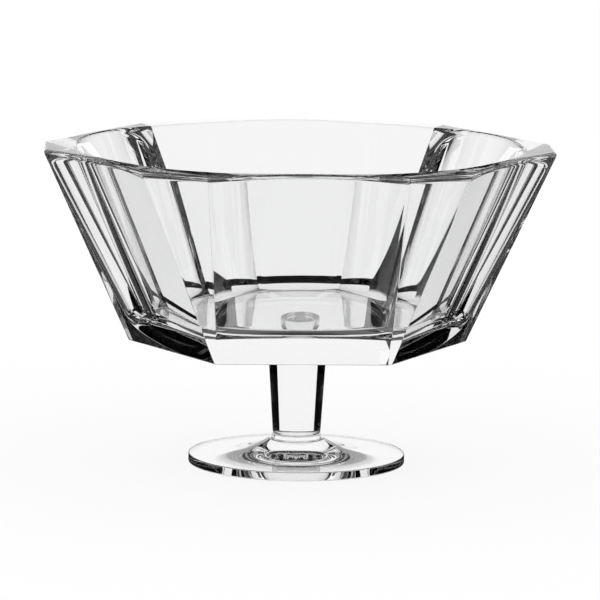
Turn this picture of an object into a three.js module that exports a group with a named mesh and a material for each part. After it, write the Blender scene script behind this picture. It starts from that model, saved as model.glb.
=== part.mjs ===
// A footed fruit bowl in clear, colourless glass: a six-sided flared bowl with cut corners,
// a solid round stem with a collar, and a round domed foot. Millimetres, +Z up, and the origin
// is at the middle of the foot's underside. One main side of the bowl faces -Y.
import * as THREE from 'three';

// Foot
const FOOT_RADIUS = 54.6;
const FOOT_EDGE_HEIGHT = 4.4;
const FOOT_EDGE_ROUND = 0.5;
const FOOT_DOME_RISE = 7.2;
const FOOT_SEAT_LIP = 1.4;

// Collar, stem and the two films of cement
const COLLAR_HEIGHT = 2.8;
const COLLAR_FLARE = 0.8;
const STEM_LENGTH = 46.8;
const STEM_BOTTOM_RADIUS = 12;
const STEM_TOP_RADIUS = 15;
const CEMENT_FILM = 0.2;

// Bowl, outside: an apothem runs from the axis to the middle of a main side
const BASE_APOTHEM = 74;
const BASE_CORNER_CUT = 1.6;
const RIM_APOTHEM = 120.6;
const RIM_CORNER_CUT = 37;
const RIM_HOLLOW = 3;
const RIM_DIP = 0.7;
const BOWL_HEIGHT = 99.1;

// Bowl, inside: the wall is measured level, at the middle of a main side
const WALL_AT_RIM = 6;
const WALL_AT_FLOOR = 10;
const FLOOR_THICKNESS = 15.2;
const FLOOR_FILLET = 12;

// How finely the round and hollow forms are divided
const SIDES = 6;
const ROUND_STEPS = 72;
const EDGE_STEPS = 4;
const DOME_STEPS = 12;
const MAIN_SIDE_STEPS = 8;
const CORNER_STEPS = 4;
const WALL_ROWS = 5;
const FILLET_STEPS = 6;

// Heights of the joints, from the foot up, and the radius of the collar where it stands
const SEAT_Z = FOOT_EDGE_HEIGHT + FOOT_DOME_RISE;
const COLLAR_Z = SEAT_Z + CEMENT_FILM;
const STEM_Z = COLLAR_Z + COLLAR_HEIGHT;
const STEM_TOP_Z = STEM_Z + STEM_LENGTH;
const BOWL_Z = STEM_TOP_Z + CEMENT_FILM;
const COLLAR_RADIUS = STEM_BOTTOM_RADIUS + COLLAR_FLARE;

const { lerp } = THREE.MathUtils;
const UP = new THREE.Vector3(0, 0, 1);
const SECTOR = (2 * Math.PI) / SIDES;

const clearGlass = new THREE.MeshStandardMaterial({ color: 0xf4f6f6, roughness: 0.02, metalness: 0 });
const clearCement = new THREE.MeshStandardMaterial({ color: 0xf8f8f4, roughness: 0.1, metalness: 0 });

function named(name, geometry, material) {
  const mesh = new THREE.Mesh(geometry, material);
  mesh.name = name;
  return mesh;
}

// A solid turned about Z. The profile is a list of [radius, height] pairs that starts and ends on
// the axis and runs from the bottom up.
function turned(name, profile, material) {
  const points = profile.map(([radius, height]) => new THREE.Vector2(radius, height));
  const geometry = new THREE.LatheGeometry(points, ROUND_STEPS);
  geometry.rotateX(Math.PI / 2);
  return named(name, geometry, material);
}

// Points of an arc in the profile plane, both ends included.
function arc(radius, height, size, from, to, steps) {
  const points = [];
  for (let i = 0; i <= steps; i += 1) {
    const angle = lerp(from, to, i / steps);
    points.push([radius + size * Math.cos(angle), height + size * Math.sin(angle)]);
  }
  return points;
}

// The foot: flat below, with a small round at its edge and a top that lies almost flat and then sweeps
// up to the collar's seat.
function makeFoot() {
  const round = Math.min(FOOT_EDGE_ROUND, FOOT_EDGE_HEIGHT / 2);
  const edgeRadius = FOOT_RADIUS - round;
  const seatRadius = COLLAR_RADIUS + FOOT_SEAT_LIP;
  const profile = [
    [0, 0],
    ...arc(edgeRadius, round, round, -Math.PI / 2, 0, EDGE_STEPS),
    ...arc(edgeRadius, FOOT_EDGE_HEIGHT - round, round, 0, Math.PI / 2, EDGE_STEPS),
  ];
  for (let i = 1; i <= DOME_STEPS; i += 1) {
    const inward = i / DOME_STEPS;
    const rise = inward ** 4;
    profile.push([lerp(edgeRadius, seatRadius, inward), FOOT_EDGE_HEIGHT + FOOT_DOME_RISE * rise]);
  }
  profile.push([0, SEAT_Z]);
  return turned('foot', profile, clearGlass);
}

// A straight or tapered round slug between two heights.
function makeSlug(name, bottomRadius, bottom, topRadius, top, material) {
  const profile = [[0, bottom], [bottomRadius, bottom], [topRadius, top], [0, top]];
  return turned(name, profile, material);
}

// Marks around the bowl, anticlockwise from above. Each main side has marks from -1 to 1 along it.
// Each cut corner has marks that run from 0 to 1 across it, between its two neighbouring sides.
function bowlMarks() {
  const marks = [];
  for (let side = 0; side < SIDES; side += 1) {
    const turn = side * SECTOR - Math.PI / 2;
    for (let i = 0; i <= MAIN_SIDE_STEPS; i += 1) {
      marks.push({ turn, along: (2 * i) / MAIN_SIDE_STEPS - 1, across: 0 });
    }
    for (let i = 1; i < CORNER_STEPS; i += 1) {
      marks.push({ turn, along: 1, across: i / CORNER_STEPS });
    }
  }
  return marks;
}

// Half the length of a main side, once the corners on both its ends are cut to a given width.
function halfSide(apothem, cornerCut) {
  return apothem * Math.tan(SECTOR / 2) - cornerCut / (2 * Math.cos(SECTOR / 2));
}

// A point of the outer wall. The level runs from 0 at the underside to 1 at the rim. The main sides
// lean out evenly and turn slightly hollow towards the rim.
function outerPoint(mark, level) {
  const apothem = lerp(BASE_APOTHEM, RIM_APOTHEM, level);
  const half = lerp(
    halfSide(BASE_APOTHEM, BASE_CORNER_CUT),
    halfSide(RIM_APOTHEM, RIM_CORNER_CUT),
    level,
  );
  const hollow = RIM_HOLLOW * level * level * (1 - mark.along * mark.along);
  const point = new THREE.Vector3(apothem - hollow, half * mark.along, 0);
  point.applyAxisAngle(UP, mark.turn);
  const nextSide = new THREE.Vector3(apothem, -half, 0);
  nextSide.applyAxisAngle(UP, mark.turn + SECTOR);
  point.lerp(nextSide, mark.across);
  point.z = BOWL_Z + BOWL_HEIGHT * level;
  return point;
}

// The level of the rim at a mark: the rim dips a little from the middle of each side to the corners,
// and runs level again where it meets them.
function rimLevel(mark) {
  const square = mark.along * mark.along;
  return 1 - (RIM_DIP / BOWL_HEIGHT) * square * (2 - square);
}

// The inside is round: a flat floor, a fillet, and a cone that opens up to the rim. The result holds
// the fillet's rows as [radius, height] pairs from the wall down to the floor.
function innerProfile() {
  const floorLevel = FLOOR_THICKNESS / BOWL_HEIGHT;
  const floorZ = BOWL_Z + FLOOR_THICKNESS;
  const floorRadius = lerp(BASE_APOTHEM, RIM_APOTHEM, floorLevel) - WALL_AT_FLOOR;
  const rimRadius = RIM_APOTHEM - RIM_HOLLOW - WALL_AT_RIM;
  const rimZ = BOWL_Z + BOWL_HEIGHT;
  const coneSlope = (rimRadius - floorRadius) / (rimZ - floorZ);
  const lean = Math.atan2(rimZ - floorZ, rimRadius - floorRadius);
  const tangent = FLOOR_FILLET * Math.tan(lean / 2);
  const bend = arc(
    floorRadius - tangent,
    floorZ + FLOOR_FILLET,
    FLOOR_FILLET,
    lean - Math.PI / 2,
    -Math.PI / 2,
    FILLET_STEPS,
  );
  return { floorZ, bend, radiusAt: (z) => floorRadius + coneSlope * (z - floorZ) };
}

// A closed skin over rings of equally many points, from a bottom middle point to a top middle point.
function skin(bottom, rings, top) {
  const count = rings[0].length;
  const points = [bottom, ...rings.flat(), top];
  const ringStart = (row) => 1 + row * count;
  const topIndex = points.length - 1;
  const faces = [];
  for (let i = 0; i < count; i += 1) {
    const next = (i + 1) % count;
    faces.push(0, ringStart(0) + next, ringStart(0) + i);
    for (let row = 0; row + 1 < rings.length; row += 1) {
      const low = ringStart(row);
      const high = ringStart(row + 1);
      faces.push(low + i, low + next, high + next);
      faces.push(low + i, high + next, high + i);
    }
    const last = ringStart(rings.length - 1);
    faces.push(last + i, last + next, topIndex);
  }
  const geometry = new THREE.BufferGeometry().setFromPoints(points);
  geometry.setIndex(faces);
  geometry.computeVertexNormals();
  return geometry;
}

// The bowl: up the outer wall, over the flat rim and down the round inside to the floor.
function makeBowl() {
  const marks = bowlMarks();
  const inside = innerProfile();
  const rings = [];
  for (let row = 0; row <= WALL_ROWS; row += 1) {
    rings.push(marks.map((mark) => outerPoint(mark, (row / WALL_ROWS) * rimLevel(mark))));
  }
  const rim = rings[WALL_ROWS];
  const inward = rim.map((point) => new THREE.Vector3(point.x, point.y, 0).normalize());
  rings.push(inward.map((way, i) => (
    way.clone().multiplyScalar(inside.radiusAt(rim[i].z)).setZ(rim[i].z)
  )));
  for (const [radius, height] of inside.bend) {
    rings.push(inward.map((way) => way.clone().multiplyScalar(radius).setZ(height)));
  }
  const underside = new THREE.Vector3(0, 0, BOWL_Z);
  const floor = new THREE.Vector3(0, 0, inside.floorZ);
  return named('bowl', skin(underside, rings, floor), clearGlass);
}

const footedBowl = new THREE.Group();
footedBowl.add(
  makeFoot(),
  makeSlug('foot_bond', COLLAR_RADIUS, SEAT_Z, COLLAR_RADIUS, COLLAR_Z, clearCement),
  makeSlug('stem_collar', COLLAR_RADIUS, COLLAR_Z, STEM_BOTTOM_RADIUS, STEM_Z, clearGlass),
  makeSlug('stem', STEM_BOTTOM_RADIUS, STEM_Z, STEM_TOP_RADIUS, STEM_TOP_Z, clearGlass),
  makeSlug('bowl_bond', STEM_TOP_RADIUS, STEM_TOP_Z, STEM_TOP_RADIUS, BOWL_Z, clearCement),
  makeBowl(),
);

export default footedBowl;
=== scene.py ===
import math

import bpy
import numpy as np
from mathutils import Matrix, Vector


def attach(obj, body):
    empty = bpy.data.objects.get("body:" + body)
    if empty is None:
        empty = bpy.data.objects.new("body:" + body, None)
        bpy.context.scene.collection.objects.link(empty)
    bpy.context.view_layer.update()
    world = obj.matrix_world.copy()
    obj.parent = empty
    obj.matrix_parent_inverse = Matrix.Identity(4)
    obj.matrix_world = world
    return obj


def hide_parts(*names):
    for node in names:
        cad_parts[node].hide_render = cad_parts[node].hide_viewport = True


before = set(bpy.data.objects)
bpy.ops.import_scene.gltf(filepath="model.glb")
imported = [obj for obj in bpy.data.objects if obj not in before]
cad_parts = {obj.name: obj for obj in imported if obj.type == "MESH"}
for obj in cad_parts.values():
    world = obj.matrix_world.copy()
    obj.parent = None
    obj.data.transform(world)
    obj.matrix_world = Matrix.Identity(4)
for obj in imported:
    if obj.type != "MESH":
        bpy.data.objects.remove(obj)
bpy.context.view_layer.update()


# Camera
# It stands a long way off with a long lens, a little left of the middle of the front side, and looks
# slightly down. The values come from a fit to the corners of the bowl's rim and base.
CAMERA_TURN = -0.0399
CAMERA_DISTANCE = 2.2472
CAMERA_HEIGHT = 0.4317
CAMERA_AIM_ACROSS = 0.00103
CAMERA_AIM_HEIGHT = 0.08229
CAMERA_ROLL = 0.0110
CAMERA_LENS = 271.0
CAMERA_SENSOR = 36.0
CAMERA_REACH = 50.0


def placed(name, data):
    """A new object in the scene, at the origin, that shows the given mesh or camera."""
    made = bpy.data.objects.new(name, data)
    bpy.context.scene.collection.objects.link(made)
    return made


eye = Vector((
    math.sin(CAMERA_TURN) * CAMERA_DISTANCE,
    -math.cos(CAMERA_TURN) * CAMERA_DISTANCE,
    CAMERA_HEIGHT,
))
aim = Vector((
    CAMERA_AIM_ACROSS * math.cos(CAMERA_TURN),
    CAMERA_AIM_ACROSS * math.sin(CAMERA_TURN),
    CAMERA_AIM_HEIGHT,
))
forward = (aim - eye).normalized()
level_right = forward.cross(Vector((0, 0, 1))).normalized()
level_up = level_right.cross(forward)
right = level_right * math.cos(CAMERA_ROLL) + level_up * math.sin(CAMERA_ROLL)
upward = level_up * math.cos(CAMERA_ROLL) - level_right * math.sin(CAMERA_ROLL)

camera = placed("camera", bpy.data.cameras.new("camera"))
camera.data.lens = CAMERA_LENS
camera.data.sensor_width = CAMERA_SENSOR
camera.data.clip_end = CAMERA_REACH
camera.matrix_world = Matrix.Translation(eye) @ Matrix(
    (right, upward, -forward)
).transposed().to_4x4()
bpy.context.scene.camera = camera
bpy.context.scene.view_settings.view_transform = "Standard"


# Studio
# A white table under a white sky. Dark cards that only glass shows stand and lie round the bowl, and glass
# shows the front half of the sky, and on some paths of the table, dimmed, as painted shade. Past a ray depth
# the sky and table are painted darker as well. So its edges draw black lines.
class Wire:
    """A socket of a node tree. Signs between wires and numbers add Math nodes to that tree."""

    def __init__(self, tree, socket=None):
        self.tree, self.socket = tree, socket

    def node(self, kind, settings=None, sockets=None, out=0):
        """Add a node of a kind, give it its settings, then its sockets, and return one output."""
        made = self.tree.nodes.new(kind)
        for name, value in (settings or {}).items():
            setattr(made, name, value)
        for name, value in (sockets or {}).items():
            if isinstance(value, Wire):
                self.tree.links.new(value.socket, made.inputs[name])
            else:
                made.inputs[name].default_value = value
        return Wire(self.tree, made.outputs[out] if made.outputs else None)

    def math(self, operation, first, second):
        """Add a Math node of that operation on two wires or numbers."""
        return self.node("ShaderNodeMath", {"operation": operation}, {0: first, 1: second})

    def __add__(self, other):
        return self.math("ADD", self, other)

    def __radd__(self, other):
        return self.math("ADD", other, self)

    def __sub__(self, other):
        return self.math("SUBTRACT", self, other)

    def __rsub__(self, other):
        return self.math("SUBTRACT", other, self)

    def __mul__(self, other):
        return self.math("MULTIPLY", self, other)

    def __rmul__(self, other):
        return self.math("MULTIPLY", other, self)


SKY_LEVEL = 0.75
FLOOR_HALF = 6.0
FLOOR_Z = -0.0002
FLOOR_SHADE = 0.2
FLOOR_GLOW = 0.85
TURNS_CLEAR, TURNS_DIM, DIM_LEVEL = 6.0, 10.0, 0.2
FRONT_DARK = 0.95
WHITE = (1, 1, 1, 1)


def ray(wire, fact):
    """One fact about the ray that arrives, by the name of Light Path's output."""
    return wire.node("ShaderNodeLightPath", out=fact)


def from_glass(wire):
    """One for a ray that glass reflects or lets through, else zero."""
    return wire.math("MAXIMUM", ray(wire, "Is Glossy Ray"), ray(wire, "Is Transmission Ray"))


def seen(wire):
    """One for a ray from the camera or from glass, else zero."""
    return wire.math("MAXIMUM", ray(wire, "Is Camera Ray"), from_glass(wire))


def painted_depth_dimming(wire):
    """Painted shade by ray depth: a share of 1 up to a first ray depth, then falling evenly to a low level
    at a second.
    """
    return wire.node("ShaderNodeMapRange", None, {
        "Value": ray(wire, "Ray Depth"), "From Min": TURNS_CLEAR, "From Max": TURNS_DIM,
        "To Min": 1.0, "To Max": DIM_LEVEL,
    })


def front_half(wire, coordinates):
    """One where Y of the named coordinates is below zero, on the camera's side of the bowl, else zero."""
    place = wire.node("ShaderNodeTexCoord", out=coordinates)
    return wire.math("LESS_THAN", wire.node("ShaderNodeSeparateXYZ", None, {"Vector": place}, out="Y"), 0.0)


def bare_material(name):
    """A new material with an empty node tree, and a wire that adds nodes to that tree."""
    material = bpy.data.materials.new(name)
    material.use_nodes = True
    material.node_tree.nodes.clear()
    return material, Wire(material.node_tree)


def grey_matt(wire, shade):
    """A matt surface of one grey."""
    return wire.node("ShaderNodeBsdfDiffuse", None, {"Color": (shade, shade, shade, 1)})


def level_square(half, z):
    """The corners of a level square about the bowl's axis."""
    return [(-half, -half, z), (half, -half, z), (half, half, z), (-half, half, z)]


world = bpy.data.worlds.new("white_studio")
bpy.context.scene.world = world
world.use_nodes = True
world.node_tree.nodes.clear()
sky = Wire(world.node_tree)
# Painted shade on the sky: past a ray depth it darkens, and for rays from glass its front half is dimmed.
sky_painted_dimming = painted_depth_dimming(sky) * (1 - front_half(sky, "Generated") * from_glass(sky) * FRONT_DARK)
white = sky.node("ShaderNodeBackground", None, {
    "Color": WHITE, "Strength": (seen(sky) * (1 - SKY_LEVEL) + SKY_LEVEL) * sky_painted_dimming,
})
sky.node("ShaderNodeOutputWorld", None, {"Surface": white})

# A ray that goes in and out of glass meets the table at an even depth, and each turn back inside adds one.
floor_paint, paint = bare_material("white_table")
odd_turns = paint.math("MODULO", ray(paint, "Ray Depth"), 2.0)
# Painted shade on the table's glow: past a ray depth it darkens, and in front of the bowl it is dimmed for
# rays that glass lets through after an odd number of turns back inside.
table_painted_dimming = painted_depth_dimming(paint) * (
    1 - front_half(paint, "Object") * odd_turns * ray(paint, "Is Transmission Ray") * FRONT_DARK
)
glow = paint.node("ShaderNodeEmission", None, {
    "Color": WHITE, "Strength": seen(paint) * table_painted_dimming * FLOOR_GLOW,
})
both = paint.node("ShaderNodeAddShader", None, {0: grey_matt(paint, FLOOR_SHADE), 1: glow})
paint.node("ShaderNodeOutputMaterial", None, {"Surface": both})

floor_mesh = bpy.data.meshes.new("floor")
floor_mesh.from_pydata(level_square(FLOOR_HALF, FLOOR_Z), [], [(0, 1, 2, 3)])
floor_mesh.materials.append(floor_paint)
floor = placed("floor", floor_mesh)

# Card paint is plain dark matt. Louvre paint is dark only for rays that graze it, and clear for steep ones.
CARD_SHADE = 0.001
LOUVRE_SHUT, LOUVRE_OPEN = math.radians(32), math.radians(40)
EVEN_BLEND = 0.5

card_paint, paint = bare_material("dark_card")
paint.node("ShaderNodeOutputMaterial", None, {"Surface": grey_matt(paint, CARD_SHADE)})

louvre_paint, paint = bare_material("dark_louvre")
shut = paint.node("ShaderNodeMapRange", None, {
    "Value": paint.node("ShaderNodeLayerWeight", None, {"Blend": EVEN_BLEND}, out="Facing"),
    "From Min": 1 - math.sin(LOUVRE_OPEN), "From Max": 1 - math.sin(LOUVRE_SHUT),
})
slats = paint.node("ShaderNodeMixShader", None, {
    0: shut, 1: paint.node("ShaderNodeBsdfTransparent"), 2: grey_matt(paint, CARD_SHADE),
})
paint.node("ShaderNodeOutputMaterial", None, {"Surface": slats})


def dark_card(name, corners, faces=None, finish=card_paint, through_glass=True):
    """A flat dark card with the given corners. Only glass shows it: it is out of the picture itself."""
    mesh = bpy.data.meshes.new(name)
    mesh.from_pydata(corners, [], faces or [tuple(range(len(corners)))])
    mesh.materials.append(finish)
    card = placed(name, mesh)
    card.visible_camera = False
    card.visible_diffuse = False
    card.visible_shadow = False
    card.visible_transmission = through_glass


def on_floor(angle, distance, height):
    """A place at an angle in degrees from straight behind the bowl, at a distance and a height."""
    return (math.sin(math.radians(angle)) * distance, math.cos(math.radians(angle)) * distance, height)


def upright(first, last, away, low, high):
    """The corners of an upright card between two angles, at one distance, from a low to a high edge."""
    return [
        on_floor(first, away, low), on_floor(last, away, low),
        on_floor(last, away, high), on_floor(first, away, high),
    ]


def mirrored(places, across, back):
    """Places with X and Y each kept by a sign of 1 or turned over by a sign of -1."""
    return [(across * x, back * y, z) for x, y, z in places]


# Each quarter has a side card far off, a fence on the table near the foot and a skirt that lies inside the
# fence. The fences start at different angles on the right and on the left.
QUARTERS = ((1, 1), (-1, 1), (-1, -1), (1, -1))
CARD_FROM, CARD_TO, CARD_AWAY, CARD_LOW, CARD_HIGH = 31, 80, 0.62, 0.085, 0.2
FENCE_FROM, FENCE_TO, FENCE_AWAY, FENCE_HIGH = {1: 34, -1: 30}, 80, 0.19, 0.045
SKIRT_AWAY = 0.13

for quarter, (across, back) in enumerate(QUARTERS):
    fence_from = FENCE_FROM[across]
    side_card = upright(CARD_FROM, CARD_TO, CARD_AWAY, CARD_LOW, CARD_HIGH)
    fence = upright(fence_from, FENCE_TO, FENCE_AWAY, 0, FENCE_HIGH)
    skirt = [
        on_floor(fence_from, SKIRT_AWAY, 0), on_floor(FENCE_TO, SKIRT_AWAY, 0),
        on_floor(FENCE_TO, FENCE_AWAY, 0), on_floor(fence_from, FENCE_AWAY, 0),
    ]
    dark_card(f"side_card_{quarter}", mirrored(side_card, across, back))
    dark_card(f"fence_{quarter}", mirrored(fence, across, back))
    dark_card(f"skirt_{quarter}", mirrored(skirt, across, back), finish=louvre_paint)

# A level ring and a level wing hang below the bowl's base, a cloth lies on the table for reflections only,
# a ceiling hangs above, and a flag stands behind the bowl above its rim.
RING_Z, RING_NEAR, RING_FAR, RING_STEPS = 0.058, 0.106, 0.153, 72
WING_NEAR, WING_FAR, WING_DEPTH = 0.09, 0.26, 0.112
CLOTH_HALF, CLOTH_Z = 0.45, FLOOR_Z / 2
CEILING_HALF, CEILING_Z = 1.6, 0.9
FLAG_HALF, FLAG_AWAY, FLAG_LOW, FLAG_HIGH = 0.2, 0.18, 0.187, 0.4

ring_angles = [360 * step / RING_STEPS for step in range(RING_STEPS)]
dark_card(
    "ring",
    [on_floor(angle, away, RING_Z) for away in (RING_NEAR, RING_FAR) for angle in ring_angles],
    [(step, (step + 1) % RING_STEPS, RING_STEPS + (step + 1) % RING_STEPS, RING_STEPS + step)
     for step in range(RING_STEPS)],
    louvre_paint,
)
dark_card("wing", [
    (WING_NEAR, 0, RING_Z), (WING_FAR, WING_DEPTH, RING_Z), (WING_NEAR, WING_DEPTH, RING_Z),
], finish=louvre_paint)
dark_card("cloth", level_square(CLOTH_HALF, CLOTH_Z), through_glass=False)
dark_card("ceiling", level_square(CEILING_HALF, CEILING_Z))
dark_card("flag", [
    (-FLAG_HALF, FLAG_AWAY, FLAG_LOW), (FLAG_HALF, FLAG_AWAY, FLAG_LOW),
    (FLAG_HALF, FLAG_AWAY, FLAG_HIGH), (-FLAG_HALF, FLAG_AWAY, FLAG_HIGH),
])

GLASS_BOUNCES = 48
CLEAR_BOUNCES = 64
bpy.context.scene.cycles.max_bounces = GLASS_BOUNCES
bpy.context.scene.cycles.transmission_bounces = GLASS_BOUNCES
bpy.context.scene.cycles.glossy_bounces = GLASS_BOUNCES
bpy.context.scene.cycles.transparent_max_bounces = CLEAR_BOUNCES


# Foot
# A round foot of clear pressed glass, flat below, with a softened edge and a top that lies almost flat
# and sweeps up to the seat of the stem's collar. It is made apart and cemented to the collar.
FOOT_RADIUS = 0.0546
FOOT_EDGE_HEIGHT = 0.0044
FOOT_EDGE_ROUND = 0.0005
FOOT_EDGE_STEPS = 16
FOOT_DOME_RISE = 0.0072
FOOT_DOME_POWER = 4
FOOT_DOME_STEPS = 60
FOOT_SEAT_LIP = 0.0014
COLLAR_RADIUS = 0.0128
ROUND_STEPS = 144

GLASS_BEND = 1.52
GLASS_TINT = (0.998, 1.0, 1.0)
UNEVEN_SCALE, UNEVEN_STRENGTH, UNEVEN_DEPTH = 22.0, 0.03, 0.001
HAZE_SCALE, HAZE_MOST = 140.0, 0.01


def glass_finish(name):
    """Clear glass: a slow unevenness of the pressed surface as bump, and a trace of haze as roughness."""
    material, glass = bare_material(name)
    place = glass.node("ShaderNodeTexCoord", out="Object")
    slow = glass.node("ShaderNodeTexNoise", None, {
        "Vector": place, "Scale": UNEVEN_SCALE, "Detail": 1.0, "Roughness": 0.4,
    })
    haze = glass.node("ShaderNodeTexNoise", None, {
        "Vector": place, "Scale": HAZE_SCALE, "Detail": 2.0, "Roughness": 0.5,
    })
    uneven = glass.node("ShaderNodeBump", None, {
        "Height": slow, "Strength": UNEVEN_STRENGTH, "Distance": UNEVEN_DEPTH,
    }, out="Normal")
    shader = glass.node("ShaderNodeBsdfPrincipled", None, {
        "Base Color": (*GLASS_TINT, 1), "Roughness": haze * HAZE_MOST,
        "IOR": GLASS_BEND, "Transmission Weight": 1.0, "Normal": uneven,
    })
    glass.node("ShaderNodeOutputMaterial", None, {"Surface": shader})
    return material


def contact_finish(name):
    """Where cement wets the glass there is no surface left to see, so the face is fully transparent."""
    material, joint = bare_material(name)
    shader = joint.node("ShaderNodeBsdfPrincipled", None, {"Base Color": WHITE, "Alpha": 0.0})
    joint.node("ShaderNodeOutputMaterial", None, {"Surface": shader})
    return material


CLEAR, WETTED = 0, 1
finishes = [glass_finish("clear_glass"), contact_finish("wetted_joint")]


def skin_mesh(name, rings, normals, bottom, top, below=CLEAR, above=CLEAR):
    """A closed skin: rings of equally many points from a bottom middle point to a top middle point.

    Quads join neighbouring rings, triangles close both ends, and each point keeps its own exact normal.
    Below and above are the places in the list of finishes that the two ends have."""
    rows, count, _ = rings.shape
    points = np.concatenate([[bottom], rings.reshape(-1, 3), [top]])
    shades = np.concatenate([[(0, 0, -1)], normals.reshape(-1, 3), [(0, 0, 1)]])
    ring = np.arange(count)
    after = (ring + 1) % count
    start = 1 + count * np.arange(rows - 1)[:, None]
    quads = np.stack([
        start + ring, start + after, start + count + after, start + count + ring,
    ], -1).reshape(-1, 4)
    last = 1 + count * (rows - 1)
    low_end = np.stack([np.zeros(count, int), 1 + after, 1 + ring], -1)
    high_end = np.stack([last + ring, last + after, np.full(count, len(points) - 1)], -1)
    mesh = bpy.data.meshes.new(name)
    mesh.from_pydata(points.tolist(), [], quads.tolist() + low_end.tolist() + high_end.tolist())
    for material in finishes:
        mesh.materials.append(material)
    finish = np.full(len(mesh.polygons), CLEAR, np.int32)
    finish[len(quads):len(quads) + count] = below
    finish[len(quads) + count:] = above
    mesh.polygons.foreach_set("material_index", finish)
    mesh.polygons.foreach_set("use_smooth", np.ones(len(mesh.polygons), bool))
    mesh.normals_split_custom_set_from_vertices(shades.tolist())
    mesh.update()
    return placed(name, mesh)


def turned_piece(name, profile, slopes, **ends):
    """A profile of (radius, height) pairs carried round the Z axis: (radius cos a, radius sin a, height).

    The normal is the profile's slope turned a quarter to the outside, carried round with it."""
    angle = np.linspace(0, 2 * math.pi, ROUND_STEPS, endpoint=False)
    way = np.stack([np.cos(angle), np.sin(angle)], -1)
    outward = np.stack([slopes[:, 1], -slopes[:, 0]], -1)
    outward /= np.linalg.norm(outward, axis=1, keepdims=True)

    def carried(pairs):
        flat = pairs[:, None, :1] * way[None]
        height = np.broadcast_to(pairs[:, None, 1:], flat[..., :1].shape)
        return np.concatenate([flat, height], -1)

    bottom, top = (0, 0, profile[0, 1]), (0, 0, profile[-1, 1])
    return skin_mesh(name, carried(profile), carried(outward), bottom, top, **ends)


def foot_profile():
    """Two quarter rounds at the edge, then the top, then the flat lip of the seat.

    At share w of the way inward the top has risen by w to a fixed power of its whole rise."""
    edge_radius = FOOT_RADIUS - FOOT_EDGE_ROUND
    seat_radius = COLLAR_RADIUS + FOOT_SEAT_LIP
    turn = np.linspace(-math.pi / 2, math.pi / 2, FOOT_EDGE_STEPS + 1)
    in_lower_round = np.arange(FOOT_EDGE_STEPS + 1) <= FOOT_EDGE_STEPS / 2
    middle = np.where(in_lower_round, FOOT_EDGE_ROUND, FOOT_EDGE_HEIGHT - FOOT_EDGE_ROUND)
    edge = np.stack([
        edge_radius + FOOT_EDGE_ROUND * np.cos(turn), middle + FOOT_EDGE_ROUND * np.sin(turn),
    ], -1)
    edge_slope = np.stack([-np.sin(turn), np.cos(turn)], -1)
    inward = np.linspace(0, 1, FOOT_DOME_STEPS + 1)[1:]
    run = seat_radius - edge_radius
    dome = np.stack([
        edge_radius + run * inward, FOOT_EDGE_HEIGHT + FOOT_DOME_RISE * inward**FOOT_DOME_POWER,
    ], -1)
    dome_slope = np.stack([
        np.full_like(inward, run), FOOT_DOME_RISE * FOOT_DOME_POWER * inward ** (FOOT_DOME_POWER - 1),
    ], -1)
    lip = np.array([[COLLAR_RADIUS, FOOT_EDGE_HEIGHT + FOOT_DOME_RISE]])
    lip_slope = np.array([[-1.0, 0.0]])
    return np.concatenate([edge, dome, lip]), np.concatenate([edge_slope, dome_slope, lip_slope])


foot = turned_piece("foot_glass", *foot_profile(), above=WETTED)
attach(foot, "root")
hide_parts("foot")


# Cement under the collar
# A thin film of clear cured cement that fills the joint between the foot's seat and the collar.
CEMENT_FILM = 0.0002
CEMENT_EDGE_REACH = 0.00005
SLUG_EDGE_STEPS = 4
SEAT_Z = FOOT_EDGE_HEIGHT + FOOT_DOME_RISE


def bent(start, corner, end, t):
    """The parabola from start to end that has the corner as its control point.

    Points are (1-t)^2 start + 2t(1-t) corner + t^2 end, for t from 0 to 1."""
    return (1 - t) ** 2 * start + 2 * t * (1 - t) * corner + t**2 * end


def round_corner(before, corner, after, reach):
    """A parabola that leaves the line to the corner a reach before it and joins the next a reach after it.

    Its slopes are its derivative, 2(1-t)(corner - start) + 2t(end - corner)."""
    towards_before, towards_after = before - corner, after - corner
    start = corner + reach * towards_before / np.linalg.norm(towards_before)
    end = corner + reach * towards_after / np.linalg.norm(towards_after)
    t = np.linspace(0, 1, SLUG_EDGE_STEPS + 1)[:, None]
    slopes = 2 * (1 - t) * (corner - start) + 2 * t * (end - corner)
    return bent(start, corner, end, t), slopes


def slug(name, low_radius, low, high_radius, high, reach):
    """A straight or tapered round slug between two heights. Its side runs from one radius to the other,
    both edges are rounded over a short reach, and both flat ends are wetted joints."""
    corners = np.array([(0, low), (low_radius, low), (high_radius, high), (0, high)])
    first, first_slope = round_corner(corners[0], corners[1], corners[2], reach)
    second, second_slope = round_corner(corners[1], corners[2], corners[3], reach)
    profile, slopes = np.concatenate([first, second]), np.concatenate([first_slope, second_slope])
    return turned_piece(name, profile, slopes, below=WETTED, above=WETTED)


foot_bond = slug(
    "foot_cement", COLLAR_RADIUS, SEAT_Z, COLLAR_RADIUS, SEAT_Z + CEMENT_FILM, CEMENT_EDGE_REACH,
)
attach(foot_bond, "root")
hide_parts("foot_bond")


# Collar
# A low flared ring of the same glass, fused to the bottom end of the stem while hot.
COLLAR_HEIGHT = 0.0028
STEM_BOTTOM_RADIUS = 0.012
STEM_EDGE_REACH = 0.0008
COLLAR_Z = SEAT_Z + CEMENT_FILM

collar = slug(
    "stem_collar_glass",
    COLLAR_RADIUS, COLLAR_Z, STEM_BOTTOM_RADIUS, COLLAR_Z + COLLAR_HEIGHT, STEM_EDGE_REACH,
)
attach(collar, "root")
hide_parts("stem_collar")


# Stem
# A solid round rod of clear glass that widens a little upwards, cut square at both ends.
STEM_LENGTH = 0.0468
STEM_TOP_RADIUS = 0.015
STEM_Z = COLLAR_Z + COLLAR_HEIGHT

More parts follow.
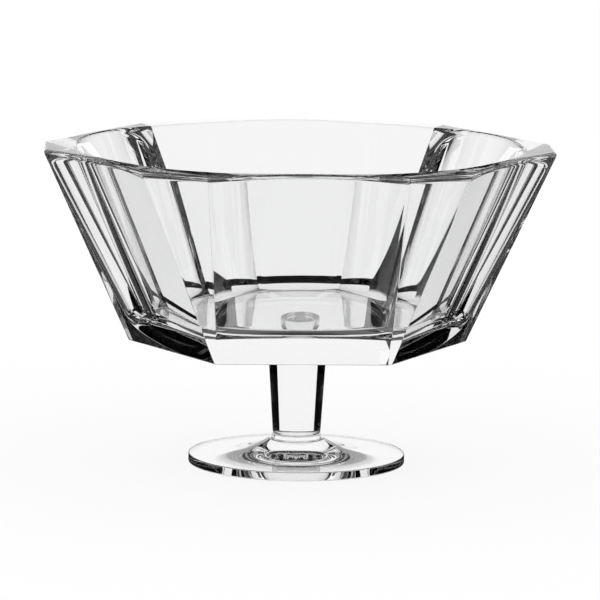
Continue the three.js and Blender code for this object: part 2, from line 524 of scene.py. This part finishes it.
stem = slug(
    "stem_glass", STEM_BOTTOM_RADIUS, STEM_Z, STEM_TOP_RADIUS, STEM_Z + STEM_LENGTH, STEM_EDGE_REACH,
)
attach(stem, "root")
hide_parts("stem")


# Cement under the bowl
# A second thin film of clear cement, between the stem's top end and the bowl's flat underside.
STEM_TOP_Z = STEM_Z + STEM_LENGTH

bowl_bond = slug(
    "bowl_cement",
    STEM_TOP_RADIUS, STEM_TOP_Z, STEM_TOP_RADIUS, STEM_TOP_Z + CEMENT_FILM, CEMENT_EDGE_REACH,
)
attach(bowl_bond, "root")
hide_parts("bowl_bond")


# Bowl
# A thick six-sided bowl of clear glass, pressed in one piece and then cut: leaning sides that turn slightly
# hollow upwards, cut corners that widen upwards, a rim that dips at the corners, and a round inside.
BOWL_Z = STEM_TOP_Z + CEMENT_FILM
BOWL_HEIGHT = 0.0991
BASE_APOTHEM = 0.074
BASE_CORNER_CUT = 0.0016
RIM_APOTHEM = 0.1206
RIM_CORNER_CUT = 0.037
RIM_HOLLOW = 0.003
RIM_DIP = 0.0007
WALL_AT_RIM = 0.006
WALL_AT_FLOOR = 0.010
FLOOR_THICKNESS = 0.0152
FLOOR_FILLET = 0.012
SIDES = 6
SECTOR = 2 * math.pi / SIDES
SIDE_EDGE_REACH = 0.0004
RIM_EDGE_REACH = 0.0026
BASE_EDGE_REACH = 0.0006
SIDE_STEPS, EDGE_STEPS, CORNER_STEPS = 24, 4, 10
ROW_STEPS = {
    "underside": 4, "base edge": 4, "wall": 16, "outer rim edge": 4,
    "rim top": 3, "inner rim edge": 4, "inside wall": 8, "fillet": 14,
}
SHIFT = 1e-4


def half_side(apothem, cut):
    """Half of a main side: the uncut half length less what the cut corner takes from its end."""
    return apothem * math.tan(SECTOR / 2) - cut / (2 * math.cos(SECTOR / 2))


def mixed(first, second, share):
    """The value or point at a share of the way from the first to the second."""
    return first + (second - first) * share


def turned_by(points, angle):
    """Points of the plane turned about the axis: (c x - s y, s x + c y), for the angle's cosine and sine."""
    c, s = np.cos(angle), np.sin(angle)
    x, y = points[..., 0], points[..., 1]
    return np.stack([c * x - s * y, s * x + c * y], -1)


def inside_shape():
    """The turned inside: a cone to the rim, a fillet of constant radius and a flat floor."""
    floor_z = BOWL_Z + FLOOR_THICKNESS
    rim_z = BOWL_Z + BOWL_HEIGHT
    floor_radius = mixed(BASE_APOTHEM, RIM_APOTHEM, FLOOR_THICKNESS / BOWL_HEIGHT) - WALL_AT_FLOOR
    rim_radius = RIM_APOTHEM - RIM_HOLLOW - WALL_AT_RIM
    slope = (rim_radius - floor_radius) / (rim_z - floor_z)
    lean = math.atan2(rim_z - floor_z, rim_radius - floor_radius)
    middle_radius = floor_radius - FLOOR_FILLET * math.tan(lean / 2)
    return floor_z, floor_radius, slope, lean, middle_radius


def around_marks():
    """The marks round the bowl: the stretch that each lies in (0 side, 1 edge, 2 corner, 3 edge), its share
    of that stretch and the number of its side."""
    counts = (SIDE_STEPS, EDGE_STEPS, CORNER_STEPS, EDGE_STEPS)
    stretch = np.concatenate([np.full(n, k) for k, n in enumerate(counts)])
    share = np.concatenate([np.arange(n) / n for n in counts])
    return np.tile(stretch, SIDES), np.tile(share, SIDES), np.repeat(np.arange(SIDES), sum(counts))


def outer_outline(level, stretch, share, side):
    """The outer wall at a level from 0, the underside, to 1, the rim, at each mark.

    A main side lies at the apothem less a hollow that grows with the square of the level and fades to
    its ends as 1 - t^2. A cut corner is the straight line between neighbouring sides. Parabolas round
    the edges between them."""
    apothem = mixed(BASE_APOTHEM, RIM_APOTHEM, level)
    half = mixed(half_side(BASE_APOTHEM, BASE_CORNER_CUT), half_side(RIM_APOTHEM, RIM_CORNER_CUT), level)
    cut = mixed(BASE_CORNER_CUT, RIM_CORNER_CUT, level)
    most = 1 - SIDE_EDGE_REACH / half
    hollow = RIM_HOLLOW * level**2

    def on_side(along):
        return np.stack([apothem - hollow * (1 - along**2), half * along], -1)

    side_end = np.stack([apothem, half], -1)
    next_start = turned_by(np.stack([apothem, -half], -1), SECTOR)
    reach = (SIDE_EDGE_REACH / cut)[:, None]
    corner_start, corner_end = mixed(side_end, next_start, reach), mixed(next_start, side_end, reach)
    t = share[:, None]
    stretches = [
        on_side(most * (2 * share - 1)),
        bent(on_side(most), side_end, corner_start, t),
        mixed(corner_start, corner_end, t),
        bent(corner_end, next_start, turned_by(on_side(-most), SECTOR), t),
    ]
    flat = np.select([stretch[:, None] == k for k in range(len(stretches))], stretches)
    flat = turned_by(flat, side * SECTOR - math.pi / 2)
    return np.concatenate([flat, (BOWL_Z + BOWL_HEIGHT * level)[:, None]], -1)


def bowl_skin(stretch, share, side, row_kind, row_share):
    """The whole skin of the bowl, row by row, from the joint on the underside to the edge of the floor.

    Straight rows are mixed between two rings of points, and rows round an edge lie on parabolas. The rim
    dips by u^2 (2 - u^2) of its whole dip at share u from a side's middle to its end. Fillet rows are an
    arc carried round the axis."""
    along = np.where(stretch == 0, 2 * share - 1, 1.0)
    rim_level = 1 - RIM_DIP / BOWL_HEIGHT * along**2 * (2 - along**2)

    def ring(level):
        return outer_outline(level * np.ones_like(share), stretch, share, side)

    slant = math.hypot(RIM_APOTHEM - BASE_APOTHEM, BOWL_HEIGHT)
    base = ring(0.0)
    base_way = base[:, :2] / np.linalg.norm(base[:, :2], axis=1, keepdims=True)
    joint = np.concatenate([base_way * (STEM_TOP_RADIUS - CEMENT_EDGE_REACH), base[:, 2:]], 1)
    base_inset = np.concatenate([base[:, :2] - base_way * BASE_EDGE_REACH, base[:, 2:]], 1)
    base_level = BASE_EDGE_REACH / slant
    rim = ring(rim_level)
    rim_level_below = rim_level - RIM_EDGE_REACH / slant
    way = rim[:, :2] / np.linalg.norm(rim[:, :2], axis=1, keepdims=True)
    floor_z, floor_radius, slope, lean, middle_radius = inside_shape()

    def inside(z):
        radius = floor_radius + slope * (z - floor_z)
        return np.concatenate([way * radius[:, None], z[:, None]], 1)

    inner = inside(rim[:, 2])
    across = (inner - rim) / np.linalg.norm(inner - rim, axis=1, keepdims=True)
    top_start, top_end = rim + across * RIM_EDGE_REACH, inner - across * RIM_EDGE_REACH
    inner_below = inside(rim[:, 2] - RIM_EDGE_REACH * math.sin(lean))
    fillet_start_z = floor_z + FLOOR_FILLET * (1 - math.cos(lean))
    fillet_start = inside(np.full_like(share, fillet_start_z))

    def fillet(t):
        angle = lean - math.pi / 2 - lean * t
        radius = middle_radius + FLOOR_FILLET * math.cos(angle)
        height = floor_z + FLOOR_FILLET + FLOOR_FILLET * math.sin(angle)
        return np.concatenate([way * radius, np.full_like(base[:, 2:], height)], 1)

    row_at = {
        "underside": lambda t: mixed(joint, base_inset, t),
        "base edge": lambda t: bent(base_inset, base, ring(base_level), t),
        "wall": lambda t: ring(mixed(base_level, rim_level_below, t)),
        "outer rim edge": lambda t: bent(ring(rim_level_below), rim, top_start, t),
        "rim top": lambda t: mixed(top_start, top_end, t),
        "inner rim edge": lambda t: bent(top_end, inner, inner_below, t),
        "inside wall": lambda t: mixed(inner_below, fillet_start, t),
        "fillet": fillet,
    }
    return np.stack([row_at[kind](t) for kind, t in zip(row_kind, row_share)])


def bowl_normals(points, marks, row_kind, row_share):
    """The cross product of the skin's two slopes, each the step to a point a small share further on."""
    stretch, share, side = marks
    share_step = np.where(share < 0.5, SHIFT, -SHIFT)
    row_step = np.where(row_share < 0.5, SHIFT, -SHIFT)
    further = bowl_skin(stretch, share + share_step, side, row_kind, row_share)
    higher = bowl_skin(stretch, share, side, row_kind, row_share + row_step)
    around = (further - points) / share_step[None, :, None]
    upwards = (higher - points) / row_step[:, None, None]
    normals = np.cross(around, upwards)
    return normals / np.linalg.norm(normals, axis=-1, keepdims=True)


row_kind = [kind for kind, count in ROW_STEPS.items() for _ in range(count)] + ["fillet"]
row_share = np.concatenate([np.arange(count) / count for count in ROW_STEPS.values()] + [[1.0]])
marks = around_marks()
points = bowl_skin(*marks, row_kind, row_share)
normals = bowl_normals(points, marks, row_kind, row_share)
bowl = skin_mesh(
    "bowl_glass", points, normals, (0, 0, BOWL_Z), (0, 0, BOWL_Z + FLOOR_THICKNESS), below=WETTED,
)
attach(bowl, "root")
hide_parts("bowl")
